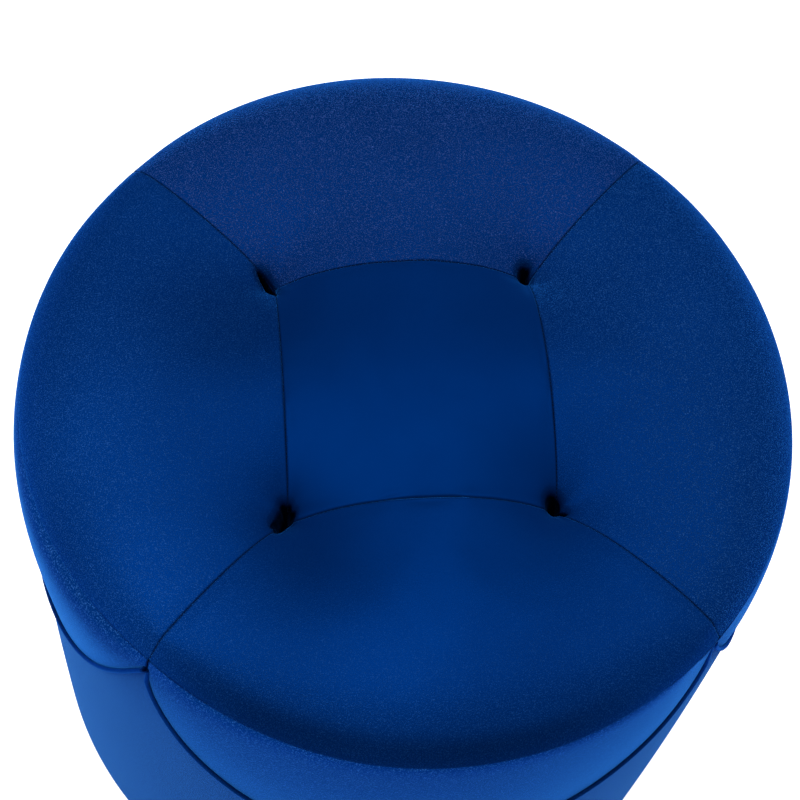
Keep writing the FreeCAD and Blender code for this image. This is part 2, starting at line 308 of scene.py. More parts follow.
SIDES = {"front": -90, "right": 0, "back": 90, "left": 180}
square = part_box("centre_panel")[1].x        # half a side of the square; a tuft is at each corner
TUFT_SIGNS = {"back_right": (1, 1), "back_left": (-1, 1), "front_left": (-1, -1), "front_right": (1, -1)}
CROWN = {2: 0.357, 4: -0.232, 10: 0.172}    # the foam's crown with no tufts, by power of radius
TUFT_PULL = 0.059 * rim_r                   # how strongly a tuft draws the cover down round it
BOWL = 0.050 * rim_r                        # radius of the soft bowl round a tuft
PANEL_PUFF = {"centre_panel": 0.0016, "petal": 0.0026}
FULLNESS = {"back_left": -0.0055, "front_left": 0.0035, "back_right": 0.0, "front_right": 0.0}
FULLNESS_SPREAD = 0.42                      # radians to each side that this fullness past a tuft reaches
PLEAT_REACH, PLEAT_WIDTH = 0.017, 0.0042    # short pleats fan out from each tuft
PLEATS = {"front": (0.0030, 0.0022), "right": (0.0034, 0.0030), "back": (0.0034, 0.0048),
          "left": (0.0044, 0.0030)}
PLEAT_LEAN, PLEAT_FLARE = 22.5, 0.22        # degrees that a pleat leans in, and how it widens as it runs
VALLEY, VALLEY_HALF = 0.0005, 0.0065        # how deep and wide the panels round over at a seam,
TUFT_VALLEY, VALLEY_REACH = 0.0030, 0.024   # and how much deeper near a tuft
LOBES = [(-90, 0.004, 1), (15, -0.005, 1), (97, 0.011, 1), (65, -0.002, 2), (178, 0.014, 1),
         (-135, -0.011, 2)]     # the rim's swellings: degrees from +X, share of rim_r, sharpness


def rim_share(angle):
    """Radius of the rim over rim_r at this angle, from lobes that each reach 45 degrees."""
    share = 1.0
    for degrees, swell, power in LOBES:
        away = angle - radians(degrees)
        share = share + swell * np.clip(np.cos(2 * away), 0, 1) ** power * (np.cos(away) > 0)
    return share


def crown_height(x, y):
    """Height of the seat's cover over the rim, from the fill, the tufts' pull and the seams."""
    x, y = np.asarray(x, float), np.asarray(y, float)
    angle = np.arctan2(y, x)
    scale = 1 / rim_share(angle)
    u, v = x * scale, y * scale
    reach = np.clip((u ** 2 + v ** 2) / rim_r ** 2, 0, 1)
    height = sum(share * rim_r * (1 - reach ** (power / 2)) for power, share in CROWN.items())
    corner_r = square * np.sqrt(2)
    mirror = (rim_r / corner_r) ** 2
    for name, (sx, sy) in TUFT_SIGNS.items():
        tx, ty = sx * square, sy * square
        near = np.sqrt((u - tx) ** 2 + (v - ty) ** 2 + BOWL ** 2)
        far = np.sqrt((u - tx * mirror) ** 2 + (v - ty * mirror) ** 2)
        height = height + TUFT_PULL * np.log(near * rim_r / (corner_r * far))
        away = np.angle(np.exp(1j * (angle - np.arctan2(sy, sx))))
        start = corner_r / rim_r
        run = np.clip((np.sqrt(reach) - start) / (1 - start), 0, 1)
        height = height + FULLNESS[name] * np.sin(pi * run) * np.exp(-(away / FULLNESS_SPREAD) ** 2)
    inside = (np.abs(x) < square) & (np.abs(y) < square)
    dome = (1 - (x / square) ** 2) * (1 - (y / square) ** 2)
    height = height + np.where(inside, PANEL_PUFF["centre_panel"] * np.clip(dome, 0, 1), 0)
    for side, degrees in SIDES.items():
        a = radians(degrees)
        p, q = x * cos(a) + y * sin(a), -x * sin(a) + y * cos(a)
        mine = (p >= square - 1e-9) & (np.abs(q) <= p + 1e-9)
        spread = np.clip(1 - (q / np.maximum(p, 1e-6)) ** 2, 0, 1)
        run = np.clip((p - square) / (rim_r - square), 0, 1)
        puff = PANEL_PUFF["petal"] * spread * np.sin(pi * run ** 0.8)
        for depth, end in zip(PLEATS[side], (-1, 1)):
            lean = radians(-PLEAT_LEAN * end)
            along = (p - square) * cos(lean) + (q - end * square) * sin(lean)
            across = -(p - square) * sin(lean) + (q - end * square) * cos(lean)
            width = PLEAT_WIDTH + PLEAT_FLARE * np.clip(along, 0, None)
            fade = np.exp(-(np.clip(along, 0, None) / PLEAT_REACH) ** 1.3)
            puff = puff - depth * np.exp(-(across / width) ** 2) * fade
        height = height + np.where(mine, puff, 0)
    return height - seam_valley(x, y)


def seam_distance(x, y):
    """How far a point is, in plan, from the nearest seam between two panels."""
    far, near = np.maximum(np.abs(x), np.abs(y)), np.minimum(np.abs(x), np.abs(y))
    to_square = np.abs(far - square) + np.clip(near - square, 0, None)
    to_radial = (far - near) / np.sqrt(2) + np.clip(square - near, 0, None)
    return np.minimum(to_square, to_radial)


def tuft_distance(x, y):
    return np.hypot(np.abs(x) - square, np.abs(y) - square)


def seam_valley(x, y):
    """The panels round over into their seams, deeply by a tuft and hardly at all elsewhere."""
    depth = VALLEY + TUFT_VALLEY * np.exp(-tuft_distance(x, y) / VALLEY_REACH)
    return depth * np.exp(-(seam_distance(x, y) / VALLEY_HALF) ** 2)


def crowd(count, strength):
    """Steps from 0 to 1, closer together at both ends, where the seams are."""
    t = np.linspace(0, 1, count + 1)
    return t - strength * np.sin(2 * pi * t) / (2 * pi)


def turned(points, degrees):
    """The points turned about the ottoman's axis, counter-clockwise from above."""
    a = radians(degrees)
    spin = np.array([[cos(a), sin(a), 0], [-sin(a), cos(a), 0], [0, 0, 1]])
    return np.asarray(points) @ spin


def grid_faces(rows, columns, start=0):
    """Quads over a grid of points stored row by row."""
    faces = []
    for i in range(rows - 1):
        for j in range(columns - 1):
            a = start + i * columns + j
            faces.append((a, a + 1, a + columns + 1, a + columns))
    return faces


ACROSS, OUT = 36, 28            # squares along a panel's seam, and from the square to the rim
SEAM_CROWDING, OUT_CROWDING = 0.7, 0.55
steps = crowd(ACROSS, SEAM_CROWDING)
outward = crowd(OUT, OUT_CROWDING)


def petal_plan(degrees):
    """Plan of a petal: from a side of the square out to a quarter of the rim."""
    angle = (steps - 0.5) * pi / 2
    inner = np.stack([np.full_like(steps, square), square * (2 * steps - 1)], 1)
    reach = rim_r * rim_share(angle + radians(degrees))
    edge = reach[:, None] * np.stack([np.cos(angle), np.sin(angle)], 1)
    rows = [inner + (edge - inner) * w for w in outward]
    plan = np.concatenate(rows)
    return turned(np.column_stack([plan, np.zeros(len(plan))]), degrees)


def sewn_top():
    """All five panels as one mesh joined along the seams; a face's material number is its panel."""
    line = square * (2 * steps - 1)
    centre = np.array([(x, y, 0) for y in line for x in line])
    points, faces, owners = [centre], grid_faces(ACROSS + 1, ACROSS + 1), [0] * ACROSS ** 2
    base = len(centre)
    for number, degrees in enumerate(SIDES.values(), 1):
        petal = petal_plan(degrees)
        points.append(petal)
        quads = grid_faces(OUT + 1, ACROSS + 1, base)
        faces += [tuple(reversed(q)) for q in quads]
        owners += [number] * len(quads)
        base += len(petal)
    points = np.concatenate(points)
    points[:, 2] = rim_z + crown_height(points[:, 0], points[:, 1])
    obj = mesh_object("sewn_top", points, faces, *panel_velvets.values())
    obj.data.polygons.foreach_set("material_index", owners)
    sheet = bmesh.new()
    sheet.from_mesh(obj.data)
    bmesh.ops.remove_doubles(sheet, verts=sheet.verts, dist=1e-5)
    sheet.to_mesh(obj.data)
    sheet.free()
    return obj


def read_points(mesh):
    flat = np.zeros(len(mesh.vertices) * 3)
    mesh.vertices.foreach_get("co", flat)
    return flat.reshape(-1, 3)


def write_points(mesh, points):
    mesh.vertices.foreach_set("co", np.asarray(points, float).ravel())
    mesh.update()


SETTLE_FRAMES = 20
SETTLE_CAP = 0.0045             # the cloth may rise or sink no further than this
SETTLE_PRESSURE, SETTLE_SLACK = 0.7, 0.010
TUFT_HELD, RIM_HELD = 0.004, 1e-4           # the cloth is held this close to a tuft, and to the rim


def settle(obj, held):
    """Lets the cover find its own shape as cloth over the fill, held where held is true."""
    start = read_points(obj.data)
    group = obj.vertex_groups.new(name="held")
    group.add([int(i) for i in np.flatnonzero(held)], 1.0, "REPLACE")
    cloth = obj.modifiers.new("cloth", "CLOTH")
    s = cloth.settings
    s.quality, s.mass, s.air_damping = 7, 0.25, 4.0
    s.tension_stiffness = s.compression_stiffness = 22.0
    s.shear_stiffness, s.bending_stiffness = 9.0, 0.35
    s.use_pressure, s.uniform_pressure_force = True, SETTLE_PRESSURE
    s.shrink_min = -SETTLE_SLACK
    s.vertex_group_mass, s.pin_stiffness = "held", 1.0
    s.effector_weights.gravity = 0.0
    cloth.point_cache.frame_start, cloth.point_cache.frame_end = 1, SETTLE_FRAMES
    for moment in range(1, SETTLE_FRAMES + 1):
        scene.frame_set(moment)
    shaped = obj.evaluated_get(bpy.context.evaluated_depsgraph_get())
    end = read_points(shaped.data)
    obj.modifiers.remove(cloth)
    scene.frame_set(1)
    rise = np.clip(end[:, 2] - start[:, 2], -SETTLE_CAP, SETTLE_CAP)
    return start + np.column_stack([0 * rise, 0 * rise, rise])


sewn = sewn_top()
plan = read_points(sewn.data)
plan_x, plan_y = plan[:, 0], plan[:, 1]
to_rim = rim_r * rim_share(np.arctan2(plan_y, plan_x)) - np.hypot(plan_x, plan_y)
write_points(sewn.data, settle(sewn, (to_rim < RIM_HELD) | (tuft_distance(plan_x, plan_y) < TUFT_HELD)))


def applied(obj, modifier, name):
    """A new plain mesh of the object with this modifier worked in; the modifier goes."""
    shaped = obj.evaluated_get(bpy.context.evaluated_depsgraph_get())
    mesh = bpy.data.meshes.new_from_object(shaped)
    obj.modifiers.remove(modifier)
    mesh.name = name
    return mesh


def finished_copy(obj, name, levels):
    """A new plain mesh of the object after this many levels of subdivision."""
    smooth = obj.modifiers.new("smooth", "SUBSURF")
    smooth.levels = smooth.render_levels = levels
    smooth.boundary_smooth = "PRESERVE_CORNERS"
    return applied(obj, smooth, name)


def remove(obj):
    mesh = obj.data
    bpy.data.objects.remove(obj)
    bpy.data.meshes.remove(mesh)


SEAM_DIP, SEAM_HALF = 0.0010, 0.0006        # the little gutter that sewing leaves along a seam
TURN_IN = 0.0045                            # seam allowance, folded in under the panel
CLOTH = 0.0010                              # thickness of the velvet, with its pile


# The folds of each tuft's pit: where its middle is from the seams' corner, its half length and
# half width in mm, the way its length runs in degrees from +X, and its share of the depth.
PIT_DEPTH = 0.0150
PITS = {"back_left": [(-5.7, 0.8, 8.6, 2.1, 121, 1.0), (-3.8, -2.6, 4.2, 2.6, 121, 0.9)],
        "back_right": [(-3.9, 1.4, 5.4, 3.2, 80, 1.0), (-2.0, 4.0, 3.6, 1.8, 60, 0.6)],
        "front_right": [(-3.0, 2.9, 4.8, 4.0, 95, 1.0), (1.2, -0.9, 4.6, 1.2, -25, 0.6)],
        "front_left": [(-4.0, -0.5, 8.9, 3.2, 64, 1.0), (-3.7, -0.9, 7.9, 3.0, 39, 0.9),
                       (-1.2, 4.6, 4.6, 2.6, 117, 0.9)]}
HALO, HALO_AHEAD = 4.2, 1.6     # mm that the painted shade spreads past a pit, and how far off centre


def seam_gutter(apart):
    return SEAM_DIP * np.exp(-(apart / SEAM_HALF) ** 2)


def tuft_pits(x, y, wider=0.0):
    """The narrow pinched pit that hides each knot, steeper than the bowl round it."""
    drop = np.zeros_like(x)
    for name, (sx, sy) in TUFT_SIGNS.items():
        for aside, ahead, long, narrow, degrees, share in PITS[name]:
            a = radians(degrees)
            shift = ahead + (HALO_AHEAD if wider else 0)
            east, north = x - sx * square - aside / 1000, y - sy * square - shift / 1000
            along, across = east * cos(a) + north * sin(a), north * cos(a) - east * sin(a)
            reach = (along * 1000 / (long + wider)) ** 2 + (across * 1000 / (narrow + wider)) ** 2
            fold = np.exp(-reach ** 1.4)
            drop = np.maximum(drop, PIT_DEPTH * share * fold)
    return drop


def fold_in(mesh, inward, skip=None):
    """Turns a panel's free edge in along inward(points), as its seam allowance lies inside."""
    cloth = bmesh.new()
    cloth.from_mesh(mesh)
    edges = [e for e in cloth.edges if e.is_boundary and not (skip and skip(e))]
    made = bmesh.ops.extrude_edge_only(cloth, edges=edges)
    fresh = [v for v in made["geom"] if isinstance(v, bmesh.types.BMVert)]
    for v, step in zip(fresh, inward(np.array([tuple(v.co) for v in fresh]))):
        v.co += Vector(step)
    bmesh.ops.recalc_face_normals(cloth, faces=cloth.faces)
    cloth.to_mesh(mesh)
    cloth.free()
    mesh.polygons.foreach_set("use_smooth", [True] * len(mesh.polygons))


def thicken(obj, depth):
    """Gives cloth its thickness, on the inner side."""
    wall = obj.modifiers.new("thickness", "SOLIDIFY")
    wall.thickness, wall.offset = depth, -1
    thin = obj.data
    obj.data = applied(obj, wall, thin.name)
    bpy.data.meshes.remove(thin)


def stand_for(obj, slot, *nodes):
    """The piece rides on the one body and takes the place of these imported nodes."""
    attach(obj, "root")
    if nodes:
        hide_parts(*nodes)


def finish_cloth(obj, node_replaced):
    """A panel gets its thickness, rides on the body and takes the place of its imported node."""
    thicken(obj, CLOTH)
    stand_for(obj, "velvet", node_replaced)


def write_layer(mesh, name, values):
    mesh.attributes.new(name, "FLOAT", "POINT").data.foreach_set("value", np.asarray(values, np.float32))


HALF_PAINTED_SHADE, FULL_PAINTED_SHADE = 0.22, 0.55      # above these a face takes the copy of the velvet in half, and in full, painted shade, with half and almost none of its sheen


def painted_shade_faces(mesh):
    """Faces under painted shade take one of two darker, duller copies of the velvet."""
    for material in (velvet_brushed, velvet_pressed):
        mesh.materials.append(material)
    amount = np.zeros(len(mesh.vertices), np.float32)
    mesh.attributes["pressed"].data.foreach_get("value", amount)
    for face in mesh.polygons:
        here = np.mean([amount[v] for v in face.vertices])
        face.material_index = 2 if here > FULL_PAINTED_SHADE else 1 if here > HALF_PAINTED_SHADE else 0


# Painted light and shade on the top, spots where the velvet's colour is made lighter or darker
# as the light falls there: across and ahead of the middle in rim radii, the spread, and how much
# lighter or darker the velvet reads there.
PAINTED_SHADING_SPOTS = [(0.0, 0.0, 0.40, -0.12), (-0.45, 0.13, 0.22, -0.20), (-0.31, -0.51, 0.16, -0.20),
           (-0.12, -0.80, 0.20, 0.22), (-0.70, -0.57, 0.22, 0.42), (-0.96, -0.14, 0.30, 0.28)]
FRONT_EDGE, FRONT_PAINTED_SHADE = 0.922, 0.44        # painted shade where the front rounds over
FRONT_BAND, FRONT_AT, FRONT_REACH = 0.05, -98, 34      # its width in radii; middle and reach in degrees
RIM_GUTTER, CORNER_GUTTER, CORNER_SPREAD = 0.15, 0.6, 0.30     # the rim seam shows mostly by a corner
PIT_PAINTED_SHADE, HALO_PAINTED_SHADE = 0.15, 0.72      # share of a pit's depth past which it is in full painted shade; how dark its halo is painted
SEAM_PAINTED_SHADE, SEAM_PAINTED_SHADE_HALF = 0.35, 0.0007  # how much painted shade lies along a seam, and how far out
# painted shade along the rim seam by the corners, and how far out
RIM_PAINTED_SHADE, RIM_PAINTED_SHADE_HALF = 0.5, 0.0006

fine_top = finished_copy(sewn, "fine_top", 2)
fine_points = read_points(fine_top)
x, y = fine_points[:, 0], fine_points[:, 1]
angle, rim_here = np.arctan2(y, x), rim_r * rim_share(np.arctan2(y, x))
to_seam = seam_distance(x, y)
to_rim = np.clip(rim_here - np.hypot(x, y), 0, None)
by_corner = np.exp(-((np.abs(angle) % (pi / 2) - pi / 4) / CORNER_SPREAD) ** 2)
rim_gutter = (RIM_GUTTER + CORNER_GUTTER * by_corner) * seam_gutter(to_rim)
fine_points[:, 2] -= seam_gutter(to_seam) + rim_gutter + tuft_pits(x, y)
write_points(fine_top, fine_points)
# Painted shade in the pits and their halos, along the seams and along the rim seam near the corners.
write_layer(fine_top, "pressed", np.maximum.reduce([
    np.clip(tuft_pits(x, y) / (PIT_PAINTED_SHADE * PIT_DEPTH), 0, 1),
    HALO_PAINTED_SHADE * tuft_pits(x, y, HALO) / PIT_DEPTH,
    SEAM_PAINTED_SHADE * np.exp(-(to_seam / SEAM_PAINTED_SHADE_HALF) ** 2),
    RIM_PAINTED_SHADE * by_corner * np.exp(-(to_rim / RIM_PAINTED_SHADE_HALF) ** 2)]))
# Painted light and shade on the top: spots lighten or darken the colour, and the front is darkened where it
# rounds over.
painted_shading = sum(strength * np.exp(-((x / rim_r - across) ** 2 + (y / rim_r - ahead) ** 2) / spread ** 2)
          for across, ahead, spread, strength in PAINTED_SHADING_SPOTS)
round_over = np.clip((np.hypot(x, y) / rim_here - FRONT_EDGE) / FRONT_BAND, 0, 1)
round_over = round_over ** 2 * (3 - 2 * round_over)
painted_shading = painted_shading - FRONT_PAINTED_SHADE * round_over * np.exp(-((np.degrees(angle) - FRONT_AT) / FRONT_REACH) ** 4)
write_layer(fine_top, "painted_shading", painted_shading)

for number, name in enumerate(PANEL_SHEEN_SPECKS):
    panel = bmesh.new()
    panel.from_mesh(fine_top)
    others = [f for f in panel.faces if f.material_index != number]
    bmesh.ops.delete(panel, geom=others, context="FACES")
    mesh = bpy.data.meshes.new(name)
    panel.to_mesh(mesh)
    panel.free()
    mesh.materials.append(panel_velvets[name])
    painted_shade_faces(mesh)
    fold_in(mesh, lambda p: np.column_stack([0 * p[:, :2], np.full(len(p), -TURN_IN)]))
    finish_cloth(add_object(name + "_velvet", mesh), name)
remove(sewn)


# ---------------------------------------------------------------- the wall's shape
# The scallops and the body cover share one wall: a drum that swells a little under the rim,
# is drawn in beside the four corners by the sewing, and narrows slightly to the foot.

foot_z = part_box("body_cover")[0].z
foot_roll = 0.012
scallop_drop = rim_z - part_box("scallop_front")[0].z + 0.002     # to the middle of the piping
CORNER_END = 0.0100             # at a corner the scallop's edge stops this far below the rim
SCALLOP_ENDS = {-90: (0.57, 0.38), 0: (0.78, 0.60), 90: (0.55, 0.55), 180: (0.55, 1.05)}
SCALLOP_MIDDLE = 0.48           # how full its curve is: small is square, large is pointed
WALL_TOP, WALL_FOOT, WALL_SWELL = 1.007, 0.991, 0.0085      # shares of rim_r: top, foot, swell between
RIM_TUCK, RIM_TUCK_DEPTH = 0.007, 0.0050    # share of rim_r that the seam draws in just under the rim
SWELL_DEPTH = 0.085             # the rim's own swellings are lost by about this far down
BULGE, BULGE_AT = 0.026, 28     # the left side swells past the rim, most at these degrees to the front
BULGE_START, BULGE_DEPTH = 0.008, 0.10      # it comes on in the first, and is lost by about the second
DRAWN, DRAWN_HALF, DRAWN_START, DRAWN_DEPTH = 0.0042, 0.11, 0.006, 0.07     # drawn in at each corner
SCALLOP_PUFF = 0.0024           # how far each scallop is padded out in its middle


def scallop_depth(phi, degrees):
    """How far under the rim a scallop's lower seam runs, phi from the middle of its side."""
    before, after = SCALLOP_ENDS[degrees]
    end = np.where(phi > 0, after, before)
    fullness = SCALLOP_MIDDLE + (end - SCALLOP_MIDDLE) * (phi / (pi / 4)) ** 2
    share = np.clip(1 - (phi / (pi / 4)) ** 2, 0, 1)
    return CORNER_END + (scallop_drop - CORNER_END) * share ** fullness


def wall_radius(phi, depth, degrees):
    """Radius of the cover at phi from the middle of a side and depth under the rim."""
    u = depth / (rim_z - foot_z)
    wall = WALL_TOP * (1 - u) + WALL_FOOT * u + WALL_SWELL * 4 * u * (1 - u)
    wall = wall + (rim_share(phi + radians(degrees)) - 1) * np.exp(-(depth / SWELL_DEPTH) ** 2)
    wall = wall - RIM_TUCK * np.exp(-depth / RIM_TUCK_DEPTH)
    away = phi + radians(degrees - SIDES["left"] - BULGE_AT)
    bulge = BULGE * np.clip(np.cos(2 * away), 0, 1) ** 2 * (np.cos(away) > 0)
    wall = wall + bulge * (1 - np.exp(-depth / BULGE_START)) * np.exp(-(depth / BULGE_DEPTH) ** 2)
    drawn = DRAWN * np.exp(-((pi / 4 - np.abs(phi)) / DRAWN_HALF) ** 2)
    drawn = drawn * np.exp(-depth / DRAWN_DEPTH) * (1 - np.exp(-depth / DRAWN_START))
    within = np.clip(depth / np.maximum(scallop_depth(phi, degrees), 1e-6), 0, 1)
    puff = SCALLOP_PUFF * np.sin(pi * within) * np.cos(2 * phi).clip(0) ** 0.5
    return rim_r * wall - drawn + puff


def wall_points(phi, depth, degrees, proud=0.0):
    """Points on the wall of one side, or proud of it by this much."""
    radius = wall_radius(phi, depth, degrees) + proud
    local = np.stack([radius * np.cos(phi), radius * np.sin(phi), rim_z - depth], -1)
    return turned(local.reshape(-1, 3), degrees)


# ---------------------------------------------------------------- scallops
# Four half-ellipses of velvet that hang from the rim seam, one on each side. Each is sewn to the
# petal above it along the rim, and to the body below with piping in the seam.

DOWN, DOWN_CROWDING = 34, 0.6   # squares from the rim to the lower seam
WELT_GUTTER, GUTTER_WIDER = 1.5, 1.8        # the gutter above the piping, over one on the seat
WELT_PAINTED_SHADE, WELT_PAINTED_SHADE_HALF = 0.5, 0.0010
CORNER_PAINTED_SHADE, CORNER_PAINTED_SHADE_HALF = 0.8, 0.0011
RIM_PAINTED_LIGHT, RIM_PAINTED_LIGHT_DEPTH = 0.4, 0.012       # painted light: the velvet's colour is lifted just under the rim
down = crowd(DOWN, DOWN_CROWDING)
phi_steps = (steps - 0.5) * pi / 2
scallop_velvet = velvet_material("velvet_scallop", tip_share=0.55, bump=0.22, tip_size=0.0010,
                                 sheen=0.78, sheen_tint=(0.04, 0.31, 1.0))


def scallop_mesh(name, degrees):
    """A scallop's mesh, with its gutter above the piping, painted shade in that gutter and by the corners,
    and painted light just under the rim.
    """
    phi, run = np.meshgrid(phi_steps, down)
    points = wall_points(phi, run * scallop_depth(phi, degrees), degrees)
    rough = mesh_object(name, points, [f[::-1] for f in grid_faces(DOWN + 1, ACROSS + 1)], scallop_velvet)
    mesh = finished_copy(rough, name, 2)
    remove(rough)
    p = turned(read_points(mesh), -degrees)
    phi = np.clip(np.arctan2(p[:, 1], p[:, 0]), -pi / 4, pi / 4)
    depth = rim_z - p[:, 2]
    slope = np.abs(np.gradient(scallop_depth(phi_steps, degrees), phi_steps)) / rim_r
    steep = np.interp(phi, phi_steps, slope)
    to_welt = np.clip(scallop_depth(phi, degrees) - depth, 0, None) / np.sqrt(1 + steep ** 2)
    dip = WELT_GUTTER * seam_gutter(to_welt / GUTTER_WIDER)
    p[:, :2] *= (1 - dip / np.hypot(p[:, 0], p[:, 1]))[:, None]
    write_points(mesh, turned(p, degrees))
    to_corner = rim_r * (pi / 4 - np.abs(phi))
    # Painted shade in the gutter above the piping and beside the corners.
    write_layer(mesh, "pressed", np.maximum(WELT_PAINTED_SHADE * np.exp(-(to_welt / WELT_PAINTED_SHADE_HALF) ** 2),
                                            CORNER_PAINTED_SHADE * np.exp(-(to_corner / CORNER_PAINTED_SHADE_HALF) ** 2)))
    # Painted light just under the rim.
    write_layer(mesh, "painted_shading", RIM_PAINTED_LIGHT * np.exp(-(np.clip(depth, 0, None) / RIM_PAINTED_LIGHT_DEPTH) ** 2))
    painted_shade_faces(mesh)
    return mesh


def toward_axis(points):
    flat = np.hypot(points[:, 0], points[:, 1])[:, None]
    return np.column_stack([-TURN_IN * points[:, :2] / flat, np.zeros(len(points))])


for side, degrees in SIDES.items():
    name = "scallop_" + side
    mesh = scallop_mesh(name, degrees)
    fold_in(mesh, toward_axis)
    finish_cloth(add_object(name + "_velvet", mesh), name)


# ---------------------------------------------------------------- body cover
# One band of velvet round the drum. It rises to a point at each corner between two scallops,
# rolls under the base board and is stapled there, under the dust sheet.

BODY_ROWS, BODY_CROWDING, ROLL_ROWS, HEM_ROWS = 34, 0.55, 6, 3
hem_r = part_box("dust_sheet")[1].x - 0.020


def ring_faces(a, b, count):
    """Quads between two closed rings of points, whose numbers start at a and b."""
    return [(a + j, b + j, b + (j + 1) % count, a + (j + 1) % count) for j in range(count)]


def body_mesh():
    """Rings of points from the scallops' edges down the wall, round the foot and in to the hem."""
    columns = [(phi, degrees) for degrees in SIDES.values() for phi in phi_steps[:-1]]
    low = rim_z - foot_z - foot_roll
    rows = []
    for run in crowd(BODY_ROWS, BODY_CROWDING):
        ring = []
        for phi, degrees in columns:
            start = scallop_depth(phi, degrees)
            ring.append(wall_points(np.array(phi), start + (low - start) * run, degrees)[0])
        rows.append(ring)
    foot = [(p[:2] / np.linalg.norm(p[:2]), np.linalg.norm(p[:2])) for p in rows[-1]]
    for a in np.arange(1, ROLL_ROWS + 1) / ROLL_ROWS * pi / 2:
        inward, z = foot_roll * (1 - cos(a)), foot_z + foot_roll * (1 - sin(a))
        rows.append([np.array([*(d * (r - inward)), z]) for d, r in foot])
    for share in np.arange(1, HEM_ROWS + 1) / HEM_ROWS:
        rows.append([np.array([*(d * (r - foot_roll + (hem_r - r + foot_roll) * share)), foot_z])
                     for d, r in foot])
    count = len(columns)
    faces = [face for i in range(len(rows) - 1) for face in ring_faces(i * count, (i + 1) * count, count)]
    return np.concatenate([np.array(r) for r in rows]), faces


# The body's velvet is a darker copy, depth 0.85: painted shade on the lower wall.
body_velvet = velvet_material("velvet_body", depth=0.85, sheen=0.66, sheen_tint=(0.07, 0.35, 1.0))
rough = mesh_object("body_rough", *body_mesh(), body_velvet)
body = add_object("body_cover_velvet", finished_copy(rough, "body_cover", 1))
remove(rough)
fold_in(body.data, toward_axis, skip=lambda e: e.verts[0].co.z < foot_z + 0.001)
finish_cloth(body, "body_cover")


# ---------------------------------------------------------------- piping
# A cotton cord in a bias strip of the same velvet, sewn into the seam under each scallop. Two
# lengths meet at each corner, just under the rim, and turn in there together.

WELT_RADIUS, WELT_PROUD, WELT_POINTS = 0.0016, 0.0008, 260
KNOT_REACH, KNOT_PAINTED_SHADE = 0.0030, 0.9        # painted shade darkens the piping this close to a corner
KNOT_LIFT, KNOT_TUCK = 0.0006, (-0.0010, -0.0045)      # its ends rise a little and turn in there
welt_velvet = velvet_material("velvet_piping", tip_share=0.2, bump=0.2, sheen=0.6)


def geometry_tree(name, inputs):
    """A geometry node tree that takes a mesh's edges as curves, and its named number inputs."""
    tree = bpy.data.node_groups.new(name, "GeometryNodeTree")
    tree.interface.new_socket("Geometry", in_out="INPUT", socket_type="NodeSocketGeometry")
    for key, value in inputs.items():
        kind = "NodeSocketInt" if isinstance(value, int) else "NodeSocketFloat"
        tree.interface.new_socket(key, in_out="INPUT", socket_type=kind).default_value = value
    tree.interface.new_socket("Geometry", in_out="OUTPUT", socket_type="NodeSocketGeometry")
    given = tree.nodes.new("NodeGroupInput").outputs
    curve = node(tree, "GeometryNodeMeshToCurve", (-800, 0), given["Geometry"])
    return tree, given, curve.outputs["Curve"]


def close_tree(tree, shape, material):
    """Ends a geometry tree: its shape made real, shaded smooth and given the material."""
    soft = node(tree, "GeometryNodeSetShadeSmooth", (150, 0), shape)
    whole = node(tree, "GeometryNodeRealizeInstances", (300, 0), soft.outputs["Geometry"])
    paint = node(tree, "GeometryNodeSetMaterial", (450, 0), whole.outputs["Geometry"], Material=material)
    tree.links.new(paint.outputs["Geometry"], tree.nodes.new("NodeGroupOutput").inputs["Geometry"])
    return tree


def grown(name, lines, tree, **values):
    """A mesh object grown by a geometry tree along one or more rows of points."""
    points, edges = [], []
    for line in lines:
        edges += [(len(points) + i, len(points) + i + 1) for i in range(len(line) - 1)]
        points += list(line)
    source = mesh_object(name + "_line", points, [], edges=edges)
    grow = source.modifiers.new("grow", "NODES")
    grow.node_group = tree
    for item in tree.interface.items_tree:
        key = item.name.replace(" ", "_")
        if item.in_out == "INPUT" and key in values:
            grow[item.identifier] = values[key]
    mesh = applied(source, grow, name)
    remove(source)
    return add_object(name, mesh)


def cord_tree(name, material):
    """A round cord of the given radius along the source's edges, gathered a little as it goes."""
    tree, given, curve = geometry_tree(
        name, {"Radius": 0.002, "Sides": 12, "Gather": 0.0002, "Gather step": 0.004})
    even = node(tree, "GeometryNodeResampleCurve", (-400, 0), mode="LENGTH", Curve=curve, Length=0.0016)
    place = node(tree, "GeometryNodeInputPosition", (-900, -300))
    noise = node(tree, "ShaderNodeTexNoise", (-700, -300), Vector=place.outputs["Position"],
                 Scale=over(tree, (-900, -500), given["Gather step"]))
    lump = node(tree, "ShaderNodeMath", (-500, -300), noise.outputs["Fac"], given["Gather"],
                given["Radius"], operation="MULTIPLY_ADD")
    grow = node(tree, "GeometryNodeSetCurveRadius", (-200, 0), Curve=even.outputs["Curve"],
                Radius=lump.outputs[0])
    profile = node(tree, "GeometryNodeCurvePrimitiveCircle", (-200, -200), Radius=1.0,
                   Resolution=given["Sides"])
    radius = node(tree, "GeometryNodeInputRadius", (-200, -400))
    tube = node(tree, "GeometryNodeCurveToMesh", (0, 0), Curve=grow.outputs["Curve"],
                Profile_Curve=profile.outputs["Curve"], Scale=radius.outputs["Radius"], Fill_Caps=True)
    return close_tree(tree, tube.outputs["Mesh"], material)


